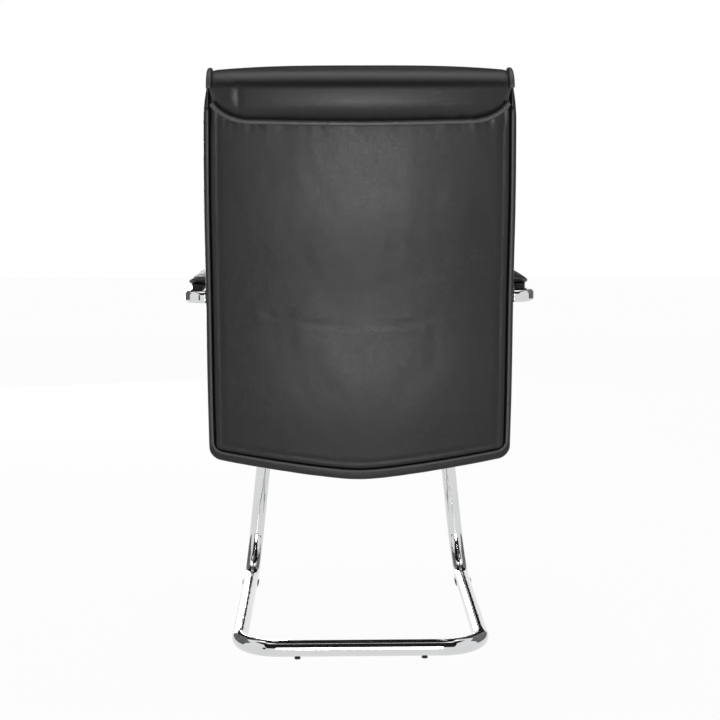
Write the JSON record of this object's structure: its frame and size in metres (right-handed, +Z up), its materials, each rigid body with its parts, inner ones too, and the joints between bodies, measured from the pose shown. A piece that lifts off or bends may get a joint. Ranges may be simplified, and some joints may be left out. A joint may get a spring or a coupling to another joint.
{
  "type": "sled base visitor chair",
  "caption": "High-backed upholstered visitor chair on a bent chrome tube with a loop on the floor, with padded chrome arms.",
  "frame": {"origin": "middle of the footprint of the whole chair, on the floor", "axes": "+Z up, the sitter faces -Y, the sitter's left is +X"},
  "size_m": [0.584, 0.6944, 0.9788],
  "materials": {
    "chrome": "polished chrome plate on steel tube",
    "black_steel": "satin black powder coat on flat steel",
    "zinc": "zinc plated screws and nuts",
    "leather": "satin black leather with a fine grain",
    "piping": "black leather cord, a little glossier",
    "foam": "pale yellow upholstery foam, open cells",
    "plywood": "plain birch plywood",
    "black_plastic": "moulded black plastic, fine texture",
    "felt": "thin black felt cloth"
  },
  "bodies": {
    "root": {"arm_bar_left": "chrome", "arm_bar_right": "chrome", "arm_foot_left": "black_steel", "arm_foot_right": "black_steel", "arm_pad_base_left": "black_plastic", "arm_pad_base_right": "black_plastic", "arm_pad_left": "leather", "arm_pad_right": "leather", "arm_tongue_left": "black_steel", "arm_tongue_right": "black_steel", "back_boxing": "leather", "back_bracket": "black_steel", "back_cushion": "leather", "back_foam_core": "foam", "back_shell": "plywood", "base_tube": "chrome", "bracket_back_bolt_left": "zinc", "bracket_back_bolt_right": "zinc", "bracket_seat_bolt_left": "zinc", "bracket_seat_bolt_right": "zinc", "flap_piping": "piping", "foot_bolt_inner_left": "zinc", "foot_bolt_inner_right": "zinc", "foot_bolt_outer_left": "zinc", "foot_bolt_outer_right": "zinc", "front_piping_left": "piping", "front_piping_right": "piping", "glide_front_left": "black_plastic", "glide_front_right": "black_plastic", "glide_rear_left": "black_plastic", "glide_rear_right": "black_plastic", "head_roll": "leather", "pad_screw_front_left": "zinc", "pad_screw_front_right": "zinc", "pad_screw_rear_left": "zinc", "pad_screw_rear_right": "zinc", "rear_panel": "leather", "rear_welt": "piping", "seat_board": "plywood", "seat_cushion": "leather", "seat_dust_cover": "felt", "seat_piping": "piping", "seat_strap_front": "black_steel", "seat_strap_rear": "black_steel", "strap_bolt_front_left": "zinc", "strap_bolt_front_right": "zinc", "strap_bolt_rear_left": "zinc", "strap_bolt_rear_right": "zinc", "tee_nut_front_left": "zinc", "tee_nut_front_right": "zinc", "tee_nut_rear_left": "zinc", "tee_nut_rear_right": "zinc", "tongue_bolt_lower_left": "zinc", "tongue_bolt_lower_right": "zinc", "tongue_bolt_upper_left": "zinc", "tongue_bolt_upper_right": "zinc", "tube_plug_left": "black_plastic", "tube_plug_right": "black_plastic"}
  },
  "joints": []
}
